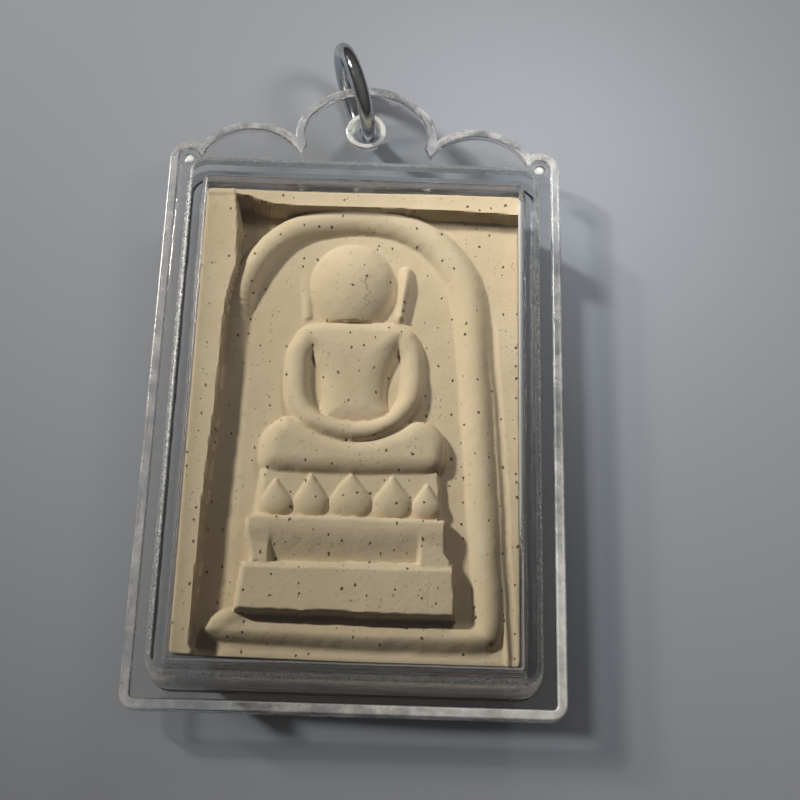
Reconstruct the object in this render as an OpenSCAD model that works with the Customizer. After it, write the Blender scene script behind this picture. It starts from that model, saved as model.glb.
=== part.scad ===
// Amulet pendant: a pressed plaster tablet with a seated figure in raised relief, held in a clear
// two-piece acrylic case with a scalloped tab, and a steel jump ring through the tab's eye.
// It lies on its back: +Z is up out of the window and +Y runs towards the ring. Millimetres.

/* [Tablet] */
// Width of the pressed tablet
tablet_w = 24; // [20:0.5:30]
// Length of the pressed tablet
tablet_l = 36; // [35:0.5:44]
// Thickness of the tablet at its border
tablet_t = 4.5; // [3.5:0.1:6]
// Depth of the sunk ground inside the border
ground_depth = 1.4; // [1:0.1:2]
// Rounding of the tablet's upright corners
tablet_r = 0.5; // [0.2:0.1:1.5]
// Width of the border and of the low edge opposite, at the top of the tablet
border_side_top = 2.1; // [1.2:0.1:3]
// Width of the border and of the low edge opposite, at the bottom of the tablet
border_side_low = 0.9; // [0.5:0.1:2]
// Width of the border along the top
border_top = 1.2; // [0.6:0.1:2]
// Width of the low edge along the bottom
border_low = 0.7; // [0.4:0.1:1.5]
// Height above the ground of the low edges, at the right and along the bottom
edge_h = 0.25; // [0.1:0.05:0.6]
// Slope of the border's inner face, as its run in plan
border_slope = 0.3; // [0.1:0.1:0.5]

/* [Arch] */
// Width of the raised bead of the arch
arch_w = 2.1; // [1.4:0.1:2.4]
// Height of the bead above the sunk ground
arch_h = 0.95; // [0.5:0.05:1.4]
// Height of the bead's worn left leg
arch_left_h = 0.5; // [0.3:0.05:1.4]
// Space between the borders and the bead
arch_gap = 0.15; // [0:0.05:0.5]
// Height of the straight legs of the arch above the bottom bar
arch_leg = 23.3; // [21:0.1:26]

/* [Pedestal] */
// Width of the plinth at its foot
plinth_w = 15.2; // [12:0.2:16]
// Length of the plinth, from its foot to the panel above
plinth_l = 3.7; // [2.5:0.1:4.5]
// Height of the plinth above the ground
plinth_h = 1.4; // [0.8:0.05:1.5]
// Space between the bottom bar and the plinth
plinth_gap = 0.5; // [0.2:0.1:1]
// Width of the sunk panel between the feet
panel_w = 10.2; // [7:0.2:12]
// Length of the sunk panel
panel_l = 1.6; // [1:0.1:2.5]
// Height of the sunk panel above the ground
panel_h = 0.65; // [0.4:0.05:1]
// Width of the moulding over the panel
moulding_w = 14; // [11:0.2:15]
// Length of the moulding
moulding_l = 1.7; // [1:0.1:2.5]
// Height of the moulding above the ground
moulding_h = 1.3; // [0.8:0.05:1.5]
// Width of the lotus band
lotus_w = 12.9; // [10:0.2:14]
// Length of the lotus band
lotus_l = 3.3; // [2.5:0.1:4]
// Height of the lotus band above the ground
lotus_h = 0.75; // [0.4:0.05:1]
// Number of lotus petals
petal_count = 5; // [3:1:7]
// Height of each petal above the band
petal_h = 0.6; // [0.3:0.05:0.7]

/* [Figure] */
// Width of the seated figure across the knees
figure_w = 13.1; // [10:0.1:14]
// Length of the seated figure, from the seat to the top of the head
figure_l = 18.4; // [16:0.1:19]
// Height of the figure's fullest parts above the ground
figure_h = 1.5; // [1:0.05:1.6]

/* [Case] */
// Thickness of the upright walls
wall = 1.2; // [0.8:0.1:1.6]
// Thickness of the window in front of the tablet
window_t = 1.1; // [0.8:0.1:1.5]
// Thickness of the floor behind the tablet
floor_t = 1.1; // [0.8:0.1:1.5]
// Space at each side of the tablet
slack_side = 0.2; // [0.1:0.05:0.6]
// Space above the tablet
slack_top = 0.8; // [0.2:0.1:1.2]
// Space below the tablet
slack_low = 0.3; // [0.2:0.1:1.2]
// Space between the tablet's border and the window
head_room = 0.35; // [0.3:0.05:0.6]
// How much the box widens from the window down to the flange
draft = 0.5; // [0.2:0.1:0.8]
// Rounding of the box's upright corners
box_r = 1.3; // [0.8:0.1:2]
// Bevel round the window and round the back
box_bevel = 0.4; // [0.2:0.1:0.7]
// Height of the seam between the two halves above the back
seam_z = 2.75; // [2.2:0.05:3.2]
// Thickness of the back half's flange
back_flange_t = 0.75; // [0.6:0.05:1]
// Thickness of the front half's flange
front_flange_t = 0.7; // [0.5:0.05:1]
// Flat of the flange beside the box
flange_side = 0.95; // [0.6:0.05:1.6]
// Flat of the flange below the box
flange_low = 0.65; // [0.4:0.05:1.6]
// Flat of the flange above the box, up to the ears' centres
flange_top = 1.25; // [0.8:0.05:2]
// Width of the raised lip round the flange
lip_w = 0.7; // [0.4:0.05:1]
// How far the lip stands above the front half's flange
lip_rise = 0.1; // [0.05:0.05:0.3]
// Rounding of the rim's lower corners
rim_r = 1.1; // [0.9:0.1:3]
// Clearance between pieces that fit into each other
fit = 0.05; // [0.03:0.01:0.1]

/* [Scalloped tab] */
// Radius of the rim's two ears
ear_r = 1.6; // [1.3:0.1:2]
// Radius of the locating pin in each ear
pin_r = 0.4; // [0.3:0.05:0.5]
// Drop of each side scallop's centre below the ears' centres
side_drop = 1.6; // [1:0.1:2.5]
// Radius of the top arc of the middle scallop
crown_r = 6.4; // [5.8:0.1:7]
// Radius of the two shoulder arcs of the middle scallop
shoulder_r = 3.4; // [2.8:0.1:4]
// Half the angle that the top arc spans
crown_half_angle = 50; // [40:1:55]
// Drop of the top arc's centre below the eye
crown_drop = 2.3; // [1.8:0.1:2.6]
// Distance from the box to the eye
eye_off = 4.3; // [3.8:0.1:5]
// Radius of the eye
eye_r = 1.2; // [1.1:0.05:1.4]
// Wall of the tube round the eye
eye_wall = 0.4; // [0.3:0.05:0.6]

/* [Jump ring] */
// Outer diameter of the jump ring
ring_d = 8.4; // [7.8:0.1:8.8]
// Diameter of its wire
wire_d = 1.2; // [0.8:0.05:1.25]
// Angle of the ring to the left of the tab's middle line
ring_turn = 20; // [0:1:30]
// Pull of the ring towards the box, off the middle of the eye
ring_pull = 0.2; // [0.15:0.01:0.25]
// Width of the slit where the ends of the wire meet
ring_slit = 0.12; // [0.08:0.01:0.2]
// Place of the slit round the ring, from its far point towards the back
slit_at = 62; // [40:1:80]

/* [Hidden] */

// Heights from the back of the case
tablet_z = floor_t + fit;
face_z = tablet_z + tablet_t;
ground_z = face_z - ground_depth;
window_z = face_z + head_room;
case_h = window_z + window_t;
flange_z = seam_z - back_flange_t;
front_z = seam_z + fit;
front_top = front_z + front_flange_t;
lip_top = front_top + lip_rise;
eye_z = (flange_z + lip_top) / 2;

// Outlines: the box at the window, the box at the flange, and the rim
box_x = tablet_w / 2 + slack_side + wall;
box_top = tablet_l / 2 + slack_top + wall;
box_low = tablet_l / 2 + slack_low + wall;
root_x = box_x + draft;
root_top = box_top + draft;
root_low = box_low + draft;
rim_x = root_x + flange_side + lip_w;
rim_low = root_low + flange_low + lip_w;
ear_x = rim_x - ear_r;
ear_y = root_top + flange_top;
eye_y = root_top + eye_off;

// The side scallop fills the room between the middle scallop and the ear, by shares of that room
shoulder_x = (crown_r - shoulder_r) * sin(crown_half_angle);
shoulder_y = eye_y - crown_drop + (crown_r - shoulder_r) * cos(crown_half_angle);
cusp_x = shoulder_x + shoulder_r;
side_room = ear_x - ear_r / 2 - cusp_x;
side_at = 0.44;
side_size = 0.695;
side_x = cusp_x + side_at * side_room;
side_r = side_size * side_room;

// Jump ring: it stands on the surface that the case lies on, and leans through the eye
wire_r = wire_d / 2;
ring_r = ring_d / 2 - wire_r;
ring_z = ring_r + wire_r;
ring_out = sqrt(pow(ring_r, 2) - pow(ring_z - eye_z, 2)) - ring_pull;
ring_reach = (ring_out + ring_r) * cos(ring_turn) + wire_r;

// Middle of the whole pendant along Y, which is brought to the origin
mid_y = (eye_y + ring_reach - rim_low) / 2;

// Relief: the lines that it is stacked up from
recess_low = -tablet_l / 2 + border_low;
recess_top = tablet_l / 2 - border_top;
bar_y = recess_low + arch_gap + arch_w / 2;
plinth_y = bar_y + arch_w / 2 + plinth_gap;
panel_y = plinth_y + plinth_l;
moulding_y = panel_y + panel_l;
lotus_y = moulding_y + moulding_l;
seat_y = lotus_y + lotus_l;
leg_low_x = tablet_w / 2 - border_side_low - arch_gap - arch_w / 2;
leg_top_x = tablet_w / 2 - border_side_top - arch_gap - arch_w / 2;
spring_y = bar_y + arch_leg;
crown_y = recess_top - arch_gap - arch_w / 2;

// How deep the relief's solids reach into the tablet
sink = 0.4;
// Overlap of solids that are joined or cut
lap = 0.1;
// Thickness of the thin slabs that a hull is stretched between
slab = 0.02;
arc_steps = 8;
dome_fn = 24;
bead_sides = 8;
bead_cap = 3;
bead_tip_angle = 8;

// Slopes of the pedestal's tiers, as their run in plan
plinth_side = 0.3;
plinth_chamfer = 0.7;
plinth_lean = 0.15;
moulding_side = 0.25;
moulding_top = 0.3;
moulding_under = 0.45;
foot_side = 0.15;
foot_drop = 0.1;

// Petals: the belly's place and its radius along, as shares of the petal's length; its radius
// across, as a share of half the petal's width; and how the petals shrink towards the sides
petal_belly = 0.36;
petal_along = 0.28;
petal_across = 0.8;
petal_crowd = 1.08;
petal_fall = 0.2;
petal_foot = 0.1;
petal_edge = 0.2;
petal_tip_r = 0.08;

// Arms, from a shoulder round to the middle of the lap. Columns: x as a share of half the figure's
// width, y as a share of its length, half the arm's thickness as a share of half the width
ARM = [
    [0.52, 0.600, 0.128],
    [0.62, 0.540, 0.134],
    [0.67, 0.460, 0.140],
    [0.68, 0.370, 0.142],
    [0.63, 0.275, 0.142],
    [0.49, 0.205, 0.138],
    [0.25, 0.160, 0.134],
    [0.00, 0.150, 0.134],
];
// Trunk, from the shoulders down. Columns: y and half the width, both as in the arms
TRUNK = [
    [0.600, 0.64],
    [0.530, 0.55],
    [0.350, 0.39],
    [0.240, 0.42],
];
// Crossed legs, from the middle to a knee. Columns: x and y as in the arms, then the radii
// across and along, as shares of half the width, and the height as a share of the figure's
LEGS = [
    [0.00, 0.045, 0.30, 0.150, 0.86],
    [0.40, 0.075, 0.30, 0.240, 0.95],
    [0.72, 0.118, 0.26, 0.310, 0.98],
];
arm_h_share = 0.85;
trunk_h_share = 0.72;
trunk_round_share = 0.13;
head_y_share = 0.815;
head_r_share = 0.525;
ear_x_share = 0.54;
ear_top_share = 0.875;
ear_low_share = 0.655;
ear_lean_share = 0.07;
ear_half_share = 0.075;
ear_h_share = 0.4;
ear_parts = 3;

function arc(cx, cy, r, from, to) =
    [for (i = [0:arc_steps]) let (a = from + (to - from) * i / arc_steps)
        [cx + r * cos(a), cy + r * sin(a)]];

function round_box(x, low, top, r) = concat(
    arc(x - r, top - r, r, 0, 90),
    arc(-x + r, top - r, r, 90, 180),
    arc(-x + r, -low + r, r, 180, 270),
    arc(x - r, -low + r, r, 270, 360));

// The middle scallop, drawn in from the edge by inset
function crown(inset) = concat(
    [[cusp_x - inset, ear_y]],
    arc(shoulder_x, shoulder_y, shoulder_r - inset, 0, 90 - crown_half_angle),
    arc(0, eye_y - crown_drop, crown_r - inset, 90 - crown_half_angle, 90 + crown_half_angle),
    arc(-shoulder_x, shoulder_y, shoulder_r - inset, 90 + crown_half_angle, 180),
    [[-cusp_x + inset, ear_y]]);

// The straight sides of the rim, with its two ears and its lower corners
function rim_body(inset) = concat(
    arc(ear_x, ear_y, ear_r - inset, 0, 180),
    arc(-ear_x, ear_y, ear_r - inset, 0, 180),
    arc(-rim_x + rim_r, -rim_low + rim_r, rim_r - inset, 180, 270),
    arc(rim_x - rim_r, -rim_low + rim_r, rim_r - inset, 270, 360));

// The whole rim with its tab, drawn in from the edge by inset
module rim_shape(inset) {
    polygon(rim_body(inset));
    polygon(crown(inset));
    for (side = [-1, 1])
        translate([side * side_x, ear_y - side_drop]) circle(r = side_r - inset, $fn = 96);
}

module rim_plate(inset, from, to) {
    translate([0, 0, from]) linear_extrude(to - from) rim_shape(inset);
}

// A thin slab of the box's outline, grown by grow
module box_slab(grow, z, t) {
    translate([0, 0, z]) linear_extrude(t)
        polygon(round_box(box_x + grow, box_low + grow, box_top + grow, box_r + grow));
}

module case_front() {
    color([0.86, 0.92, 0.94, 0.35]) seated() difference() {
        union() {
            rim_plate(lip_w + fit, front_z, front_top);
            hull() {
                box_slab(draft, front_z, slab);
                box_slab(box_bevel * draft / (case_h - front_z), case_h - box_bevel, slab);
                box_slab(-box_bevel, case_h - slab, slab);
            }
        }
        hull() {
            box_slab(draft - wall, front_z - lap, slab);
            box_slab(-wall, window_z - slab, slab);
        }
        translate([0, eye_y, front_z - lap])
            cylinder(r = eye_r + eye_wall + fit, h = front_flange_t + 2 * lap, $fn = 64);
        for (side = [-1, 1]) translate([side * ear_x, ear_y, front_z - lap])
            cylinder(r = pin_r + fit, h = front_flange_t + 2 * lap, $fn = 32);
    }
}

module case_back() {
    color([0.82, 0.89, 0.92, 0.35]) seated() difference() {
        union() {
            rim_plate(0, flange_z, seam_z);
            difference() {
                rim_plate(0, seam_z - lap, lip_top);
                rim_plate(lip_w, seam_z - 2 * lap, lip_top + lap);
            }
            hull() {
                box_slab(draft, flange_z + lap, slab);
                box_slab(draft / 2, box_bevel, slab);
                box_slab(draft / 2 - box_bevel, 0, slab);
            }
            translate([0, eye_y, flange_z])
                cylinder(r = eye_r + eye_wall, h = lip_top - flange_z, $fn = 64);
            for (side = [-1, 1]) translate([side * ear_x, ear_y, seam_z - lap])
                cylinder(r = pin_r, h = front_top - seam_z + lap, $fn = 32);
        }
        hull() {
            box_slab(draft - wall, seam_z + lap, slab);
            box_slab(draft / 2 - wall, floor_t, slab);
        }
        translate([0, eye_y, flange_z - lap])
            cylinder(r = eye_r, h = lip_top - flange_z + 2 * lap, $fn = 64);
    }
}

function unit(v) = v / norm(v);
function across(p, i) =
    let (t = unit(p[min(i + 1, len(p) - 1)] - p[max(i - 1, 0)])) [-t[1], t[0]];

// The rings that round off the end of a bead at p, towards out
function bead_end(p, out, side, w, h) = [for (i = [0:bead_cap - 1])
    let (a = bead_tip_angle + (90 - bead_tip_angle) * i / bead_cap)
        [p + out * w * cos(a), side, w * sin(a), h * sin(a)]];
function reversed(list) = [for (i = [len(list) - 1:-1:0]) list[i]];

// A rounded bead along the points p, of half width w[i] and height h[i], with rounded ends.
// Each ring is its middle, the direction across it, its half width and its height
module bead(p, w, h) {
    n = len(p);
    first = unit(p[0] - p[1]);
    last = unit(p[n - 1] - p[n - 2]);
    rings = concat(
        bead_end(p[0], first, across(p, 0), w[0], h[0]),
        [for (i = [0:n - 1]) [p[i], across(p, i), w[i], h[i]]],
        reversed(bead_end(p[n - 1], last, across(p, n - 1), w[n - 1], h[n - 1])));
    m = bead_sides + 3;
    points = [for (r = rings) each concat(
        [[r[0][0] + r[1][0] * r[2], r[0][1] + r[1][1] * r[2], -sink]],
        [for (j = [0:bead_sides]) let (a = 180 * j / bead_sides, s = r[2] * cos(a))
            [r[0][0] + r[1][0] * s, r[0][1] + r[1][1] * s, r[3] * sin(a)]],
        [[r[0][0] - r[1][0] * r[2], r[0][1] - r[1][1] * r[2], -sink]])];
    faces = concat(
        [[for (j = [0:m - 1]) j]],
        [for (i = [0:len(rings) - 2], j = [0:m - 1])
            [i * m + j, (i + 1) * m + j, (i + 1) * m + (j + 1) % m, i * m + (j + 1) % m]],
        [[for (j = [m - 1:-1:0]) (len(rings) - 1) * m + j]]);
    translate([0, 0, ground_z]) polyhedron(points, faces);
}

// A raised dome, half of a flattened ball, on the ground
module dome(x, y, rx, ry, h) {
    translate([x, y, ground_z]) scale([rx, ry, h]) sphere(r = 1, $fn = dome_fn);
}

// A raised block with sloping sides: half width x at its foot, from y0 to y1, drawn in at its top
module block(x, y0, y1, h, side, top, low) {
    hull() {
        translate([-x, y0, ground_z - sink]) cube([2 * x, y1 - y0, slab]);
        translate([-x, y0, ground_z]) cube([2 * x, y1 - y0, slab]);
        translate([-x + side, y0 + low, ground_z + h - slab])
            cube([2 * (x - side), y1 - y0 - low - top, slab]);
    }
}

// The hollow between the corners given, from its floor up, with sloping sides
module hollow(from, corners, slopes) {
    hull() for (step = [[from, border_slope], [face_z, 0], [face_z + lap, 0]])
        translate([0, 0, step[0]]) linear_extrude(slab)
            polygon([for (i = [0:len(corners) - 1]) corners[i] + slopes[i] * step[1]]);
}

// The bare tablet: high borders at the left and the top, low edges at the right and the bottom
module blank() {
    low_x = tablet_w / 2 - border_side_low;
    top_x = tablet_w / 2 - border_side_top;
    open_x = tablet_w / 2 + border_slope + lap;
    open_y = -tablet_l / 2 - border_slope - lap;
    inward = [[-1, 1], [-1, -1], [1, -1], [1, 1]];
    difference() {
        translate([0, 0, tablet_z]) linear_extrude(tablet_t)
            polygon(round_box(tablet_w / 2, tablet_l / 2, tablet_l / 2, tablet_r));
        hollow(ground_z,
            [[low_x, recess_low], [top_x, recess_top], [-top_x, recess_top], [-low_x, recess_low]], inward);
        hollow(ground_z + edge_h,
            [[open_x, open_y], [open_x, recess_top], [-top_x, recess_top], [-low_x, open_y]], inward);
    }
}

module arch() {
    leg_steps = 4;
    arch_steps = 24;
    leg = [for (i = [0:leg_steps - 1]) let (up = i / leg_steps)
        [leg_low_x + (leg_top_x - leg_low_x) * up, bar_y + arch_leg * up]];
    path = concat(
        leg,
        [for (i = [0:arch_steps]) let (a = 180 * i / arch_steps)
            [leg_top_x * cos(a), spring_y + (crown_y - spring_y) * sin(a)]],
        [for (at = reversed(leg)) [-at[0], at[1]]]);
    bar = [for (i = [-leg_steps:leg_steps]) [leg_low_x * i / leg_steps, bar_y]];
    left_from = leg_steps + arch_steps;
    heights = [for (i = [0:len(path) - 1])
        arch_h + (arch_left_h - arch_h) * min(max(i - left_from, 0) / 2, 1)];
    bead(path, [for (p = path) arch_w / 2], heights);
    bead(bar, [for (p = bar) arch_w / 2], [for (p = bar) arch_h]);
}

module petal(x, w, tip) {
    tip_y = lotus_y + petal_foot + tip - petal_tip_r;
    belly_y = lotus_y + petal_foot + tip * petal_belly;
    z = ground_z + lotus_h;
    hull() {
        translate([x, belly_y, z - petal_edge]) cylinder(r = w / 2, h = petal_edge, $fn = 16);
        translate([x, tip_y, z - petal_edge]) cylinder(r = petal_tip_r, h = petal_edge * 1.25, $fn = 8);
        translate([x, belly_y, z])
            scale([w / 2 * petal_across, tip * petal_along, petal_h]) sphere(r = 1, $fn = 12);
    }
}

module pedestal() {
    foot_w = (moulding_w - panel_w) / 2;
    pitch = lotus_w / petal_count;
    block(plinth_w / 2, plinth_y, panel_y, plinth_h, plinth_side, plinth_chamfer, plinth_lean);
    block(panel_w / 2 + lap, panel_y - lap, moulding_y + lap, panel_h, 0, 0, 0);
    block(moulding_w / 2, moulding_y, lotus_y, moulding_h, moulding_side, moulding_top, moulding_under);
    for (side = [-1, 1]) translate([side * (panel_w + foot_w) / 2, 0, 0])
        block(foot_w / 2, panel_y - lap, moulding_y + moulding_under, moulding_h - foot_drop,
            foot_side, 0, 0);
    block(lotus_w / 2, lotus_y - lap, seat_y + lap, lotus_h, foot_side, 0, 0);
    for (i = [0:petal_count - 1])
        let (at = i - (petal_count - 1) / 2, shrink = petal_fall * abs(at) * 2 / petal_count)
            petal(at * pitch, pitch * (petal_crowd - shrink), lotus_l * (1 - shrink));
}

module figure() {
    half = figure_w / 2;
    arm = concat(
        [for (row = ARM) [row[0] * half, seat_y + row[1] * figure_l]],
        [for (i = [len(ARM) - 2:-1:0]) [-ARM[i][0] * half, seat_y + ARM[i][1] * figure_l]]);
    arm_w = concat([for (row = ARM) row[2] * half], [for (i = [len(ARM) - 2:-1:0]) ARM[i][2] * half]);
    bead(arm, arm_w, [for (p = arm) figure_h * arm_h_share]);
    for (i = [0:len(TRUNK) - 2]) hull() for (row = [TRUNK[i], TRUNK[i + 1]])
        dome(0, seat_y + row[0] * figure_l, row[1] * half, trunk_round_share * half,
            trunk_h_share * figure_h);
    for (side = [-1, 1], i = [0:len(LEGS) - 2]) hull() for (row = [LEGS[i], LEGS[i + 1]])
        dome(side * row[0] * half, seat_y + row[1] * figure_l, row[2] * half, row[3] * half,
            row[4] * figure_h);
    dome(0, seat_y + head_y_share * figure_l, head_r_share * half, head_r_share * half, figure_h);
    for (side = [-1, 1]) bead(
        [for (k = [0:ear_parts]) let (up = k / ear_parts)
            [side * half * (ear_x_share + ear_lean_share * up),
                seat_y + figure_l * (ear_low_share + (ear_top_share - ear_low_share) * up)]],
        [for (k = [0:ear_parts]) ear_half_share * half],
        [for (k = [0:ear_parts]) ear_h_share * figure_h]);
}

module tablet() {
    color([0.84, 0.79, 0.67]) seated() {
        blank();
        arch();
        pedestal();
        figure();
    }
}

module jump_ring() {
    slit_angle = ring_slit / ring_r * 180 / PI;
    color([0.75, 0.76, 0.78]) seated() translate([0, eye_y, ring_z]) rotate([0, 0, 90 + ring_turn])
        translate([ring_out, 0, 0]) rotate([90, 0, 0]) rotate([0, 0, -slit_at + slit_angle / 2])
        rotate_extrude(angle = 360 - slit_angle, $fn = 96)
        translate([ring_r, 0]) circle(r = wire_r, $fn = 32);
}

// Brings the middle of the whole pendant to the origin
module seated() {
    translate([0, -mid_y, 0]) children();
}

case_back();
tablet();
case_front();
jump_ring();
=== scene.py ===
"""Looks of the amulet pendant: a pressed plaster tablet in a clear acrylic case, on a steel ring.

Lengths are millimetres until a mesh is finished, and MM turns them into metres. The relief is
written in the tablet's own frame: x to the right, y towards the ring, heights above the sunk ground.
"""
import math

import bmesh
import bpy
import numpy as np
from mathutils import Matrix, Vector


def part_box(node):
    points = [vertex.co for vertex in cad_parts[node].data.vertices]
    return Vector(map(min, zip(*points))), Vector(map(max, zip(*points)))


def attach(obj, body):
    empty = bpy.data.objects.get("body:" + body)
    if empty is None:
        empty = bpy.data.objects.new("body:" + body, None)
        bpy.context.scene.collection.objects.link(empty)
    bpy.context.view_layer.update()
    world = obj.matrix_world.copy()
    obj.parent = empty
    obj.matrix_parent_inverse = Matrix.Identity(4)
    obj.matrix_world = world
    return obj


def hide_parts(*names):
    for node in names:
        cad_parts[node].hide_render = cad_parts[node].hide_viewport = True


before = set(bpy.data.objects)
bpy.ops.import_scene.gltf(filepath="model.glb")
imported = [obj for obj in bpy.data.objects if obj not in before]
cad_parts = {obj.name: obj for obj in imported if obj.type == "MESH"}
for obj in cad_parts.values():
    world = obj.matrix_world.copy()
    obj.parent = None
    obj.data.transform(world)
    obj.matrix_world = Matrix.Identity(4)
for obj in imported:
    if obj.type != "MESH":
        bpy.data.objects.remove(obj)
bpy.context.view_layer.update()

MM = 0.001


def node_box(name):
    """The lowest and highest corners of a CAD node, in millimetres."""
    return [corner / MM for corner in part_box(name)]


tablet_low, tablet_high = node_box("tablet")
back_low, back_high = node_box("case_back")
front_low, front_high = node_box("case_front")
ring_low, ring_high = node_box("jump_ring")

# The tablet's middle is the origin of all outlines below
middle_y = (tablet_low.y + tablet_high.y) / 2
tablet_w = tablet_high.x - tablet_low.x
tablet_l = tablet_high.y - tablet_low.y


# Camera and light

PHOTO_SIDE = 800
FOCAL_PIXELS = 1353.8
SENSOR_W = 36.0
NEAREST = 0.002
CAMERA_PLACE = Vector((1.98, -32.88, 98.56))
CAMERA_TURN = (-20.04, 1.34, -1.5)
KEY_PLACE = Vector((-0.570, 0.351, 0.438))
KEY_AIM = Vector((0.008, 0.057, 0.004))
KEY_RADIUS = 0.042
KEY_BEAM = 18.4
KEY_POWER = 34.5
KEY_COLOUR = (1.0, 0.94, 0.83)
FILL_PLACE = Vector((0.015, 0.022, 0.028))
FILL_AIM = Vector((0.0105, 0.011, 0.004))
FILL_SIZE = 0.008
FILL_POWER = 0.0050
FILL_COLOUR = (1.0, 0.955, 0.90)
WORLD_COLOUR = (0.79, 0.72, 0.64, 1.0)
WORLD_STRENGTH = 0.17
# The room's light at the horizon and overhead, as shares of its strength
HORIZON_SHARE = 0.3
ZENITH_SHARE = 1.35
FLOOR_HALF = 1.0
CLEAR_BOUNCES = 24


def add_camera():
    """A camera at the photograph's place and angle."""
    data = bpy.data.cameras.new("camera")
    data.sensor_width = SENSOR_W
    data.lens = data.sensor_width * FOCAL_PIXELS / PHOTO_SIDE
    data.clip_start = NEAREST
    camera = bpy.data.objects.new("camera", data)
    bpy.context.scene.collection.objects.link(camera)
    turn = [Matrix.Rotation(math.radians(a), 3, axis) for a, axis in zip(CAMERA_TURN, "XYZ")]
    placed = (turn[0] @ turn[1] @ turn[2]).transposed().to_4x4()
    placed.translation = (CAMERA_PLACE + Vector((0, middle_y, 0))) * MM
    camera.matrix_world = placed
    bpy.context.scene.camera = camera


def add_lamp(name, kind, place, aim, power, colour):
    """A soft lamp at a place, turned to the point it lights most."""
    data = bpy.data.lights.new(name, kind)
    data.energy = power
    data.color = colour
    lamp = bpy.data.objects.new(name, data)
    lamp.location = place
    lamp.rotation_euler = (place - aim).to_track_quat("Z", "Y").to_euler()
    bpy.context.scene.collection.objects.link(lamp)
    return lamp


def add_room():
    """A dim room, brightest overhead."""
    world = bpy.data.worlds.new("room")
    world.use_nodes = True
    tree = world.node_tree
    background = tree.nodes["Background"]
    background.inputs["Color"].default_value = WORLD_COLOUR
    where = tree.nodes.new("ShaderNodeTexCoord")
    up = axes(tree, where.outputs["Generated"])[2]
    height = tree.nodes.new("ShaderNodeMapRange")
    height.inputs["To Min"].default_value = WORLD_STRENGTH * HORIZON_SHARE
    height.inputs["To Max"].default_value = WORLD_STRENGTH * ZENITH_SHARE
    tree.links.new(up, height.inputs["Value"])
    tree.links.new(height.outputs["Result"], background.inputs["Strength"])
    bpy.context.scene.world = world


def add_studio():
    """The room, a key lamp at the upper left whose beam fades, a weak fill and a pale floor."""
    add_room()
    key_lamp = add_lamp("key", "SPOT", KEY_PLACE, KEY_AIM, KEY_POWER, KEY_COLOUR)
    key_lamp.data.shadow_soft_size = KEY_RADIUS
    key_lamp.data.spot_size = math.radians(KEY_BEAM)
    key_lamp.data.spot_blend = 1.0
    fill_lamp = add_lamp("fill", "AREA", FILL_PLACE, FILL_AIM, FILL_POWER, FILL_COLOUR)
    fill_lamp.data.size = FILL_SIZE
    fill_lamp.visible_camera = False
    fill_lamp.visible_glossy = False
    fill_lamp.visible_transmission = False
    floor_mesh = bmesh.new()
    bmesh.ops.create_grid(floor_mesh, x_segments=1, y_segments=1, size=FLOOR_HALF)
    floor = mesh_object("floor", floor_mesh, [floor_material()])
    bpy.context.scene.view_settings.view_transform = "Standard"
    # The lamps shine straight through the acrylic, so bent light isn't counted a second time
    bpy.context.scene.cycles.caustics_refractive = False
    bpy.context.scene.cycles.caustics_reflective = False
    bpy.context.scene.cycles.transparent_max_bounces = CLEAR_BOUNCES


# Meshes

def mesh_object(name, bm, materials):
    """Turns a finished bmesh, in metres, into an object at the origin."""
    mesh = bpy.data.meshes.new(name)
    bm.to_mesh(mesh)
    bm.free()
    piece = bpy.data.objects.new(name, mesh)
    for material in materials:
        mesh.materials.append(material)
    bpy.context.scene.collection.objects.link(piece)
    return piece


def curve(rows, closed, steps=6):
    """A smooth line through rows of numbers: the first two are x and y, the rest follow along."""
    rows = np.array(rows, float)
    count = len(rows)
    spans = count if closed else count - 1
    line = []
    for i in range(spans):
        if closed:
            before, start, end, after = (rows[(i + k) % count] for k in (-1, 0, 1, 2))
        else:
            before, start, end, after = (rows[min(max(i + k, 0), count - 1)] for k in (-1, 0, 1, 2))
        for step in range(steps):
            t = step / steps
            line.append(0.5 * (2 * start + (end - before) * t
                               + (2 * before - 5 * start + 4 * end - after) * t ** 2
                               + (3 * start - before - 3 * end + after) * t ** 3))
    if not closed:
        line.append(rows[-1])
    return np.array(line)


def joined(a, b, blend):
    """The higher of two heights, with a soft fillet where they meet."""
    near = np.clip(blend - np.abs(a - b), 0, None) / blend
    return np.maximum(a, b) + near * near * blend / 4


def smoothed(t):
    """Runs from 0 to 1 with a gentle start and end."""
    t = np.clip(t, 0, 1)
    return t * t * (3 - 2 * t)


def quarter_round(t):
    """Runs from 0 to 1 as a quarter of a circle does: steep at first, then level."""
    t = np.clip(t, 0, 1)
    return np.sqrt(1 - (1 - t) ** 2)


def to_span(x, y, a, b):
    """How far each point is from the span a to b, and how far along the span it lies."""
    run = b[:2] - a[:2]
    t = ((x - a[0]) * run[0] + (y - a[1]) * run[1]) / max(run @ run, 1e-12)
    t = np.clip(t, 0, 1)
    return np.hypot(x - a[0] - t * run[0], y - a[1] - t * run[1]), t


def bead(x, y, rows, roundness=2.0, fullness=0.5):
    """Height of a rounded bead along rows of x, y, half width and height."""
    line = curve(rows, closed=False)
    height = np.zeros_like(x)
    for a, b in zip(line, line[1:]):
        away, t = to_span(x, y, a, b)
        half = a[2] + (b[2] - a[2]) * t
        crest = a[3] + (b[3] - a[3]) * t
        share = np.clip(away / half, 0, 1)
        height = np.maximum(height, crest * (1 - share ** roundness) ** fullness)
    return height


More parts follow.
